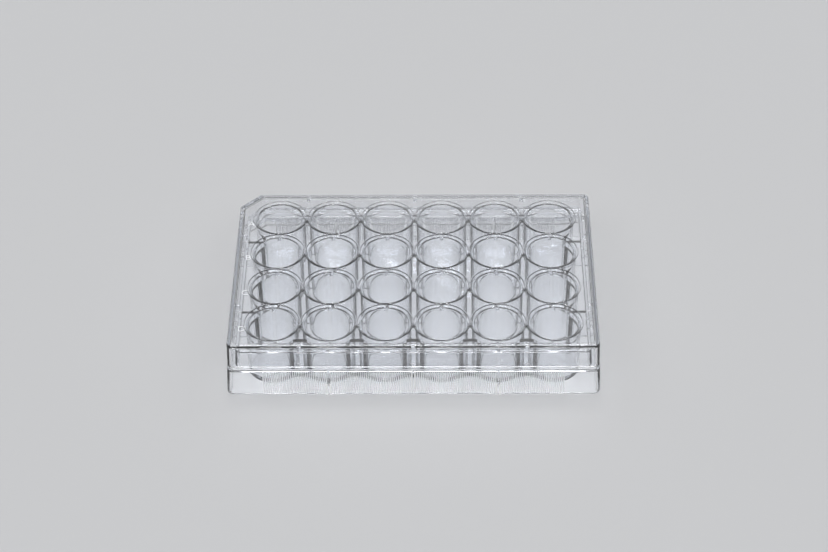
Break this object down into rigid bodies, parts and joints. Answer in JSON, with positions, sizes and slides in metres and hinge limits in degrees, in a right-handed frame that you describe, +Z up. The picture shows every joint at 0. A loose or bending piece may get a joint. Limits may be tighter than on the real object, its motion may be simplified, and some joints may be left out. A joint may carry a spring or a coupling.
{
  "type": "well plate",
  "caption": "Clear plastic cell culture plate with a grid of round flat-bottomed wells, a skirt to rest on and a loose lid keyed by one cut corner.",
  "frame": {"origin": "centre of the footprint, on the surface that the plate stands on", "axes": "+X along the columns' numbers, +Y towards row A at the back, +Z up"},
  "size_m": [0.1278, 0.0856, 0.0211],
  "materials": {
    "clear_polystyrene": "clear polished crystal polystyrene, with fine grip ribs on the long sides",
    "clear_polystyrene_lid": "clear polished crystal polystyrene"
  },
  "bodies": {
    "root": {"well_plate_base": "clear_polystyrene", "lid": "clear_polystyrene_lid"}
  },
  "joints": []
}
